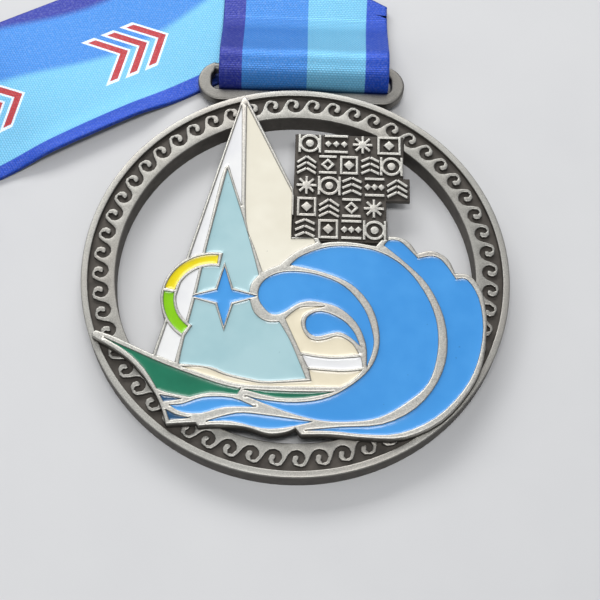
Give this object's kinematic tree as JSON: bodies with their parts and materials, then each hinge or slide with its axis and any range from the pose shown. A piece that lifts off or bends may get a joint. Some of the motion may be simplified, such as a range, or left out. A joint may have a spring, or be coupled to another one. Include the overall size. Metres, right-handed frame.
{
  "type": "sports finisher medal",
  "caption": "Round cut-out ring medal with an enamelled sailing picture, a hanger loop and a folded neck ribbon that the medal swings on.",
  "frame": {"origin": "centre of the ring on the medal's flat back face", "axes": "+Z out of the medal's front, +Y from the ring centre to the hanger's bar, +X to the right seen from the front"},
  "size_m": [0.1667, 0.1307, 0.0085],
  "materials": {
    "antique_silver": "zinc alloy casting with antique silver plating, dark in the recesses and polished on the ridges",
    "enamel_blue": "glossy soft enamel",
    "enamel_pale_blue": "glossy soft enamel",
    "enamel_white": "glossy soft enamel",
    "enamel_cream": "glossy soft enamel",
    "enamel_yellow": "glossy soft enamel",
    "enamel_lime": "glossy soft enamel",
    "enamel_green": "glossy soft enamel",
    "enamel_navy": "glossy soft enamel",
    "ribbon_satin": "printed polyester satin webbing",
    "seam_thread": "polyester sewing thread"
  },
  "bodies": {
    "ribbon": {"ribbon_loop": "ribbon_satin", "ribbon_back": "ribbon_satin", "ribbon_band": "ribbon_satin", "ribbon_stack": "ribbon_satin", "ribbon_seam": "seam_thread"},
    "medal": {"ring": "antique_silver", "hanger": "antique_silver", "picture_plate": "antique_silver", "ornament_panel": "antique_silver", "white_sail": "enamel_white", "cream_sail": "enamel_cream", "blue_jib": "enamel_pale_blue", "badge_yellow": "enamel_yellow", "badge_green": "enamel_lime", "badge_star": "enamel_blue", "hull_green": "enamel_green", "hull_stripe_green": "enamel_green", "deck_cream": "enamel_cream", "cabin_cream": "enamel_cream", "cabin_white": "enamel_white", "main_wave": "enamel_blue", "wave_crest": "enamel_blue", "upper_curl": "enamel_blue", "small_curl": "enamel_blue", "bow_wave_left": "enamel_blue", "bow_wave_middle": "enamel_blue", "keel_navy": "enamel_navy", "stern_navy": "enamel_navy"}
  },
  "joints": [
    {"name": "medal_swing", "type": "hinge", "parent": "ribbon", "child": "medal", "pos_m": [0, 0.0488, 0.0029], "axis": [-1, 0, 0], "range_deg": [0, 100]}
  ]
}
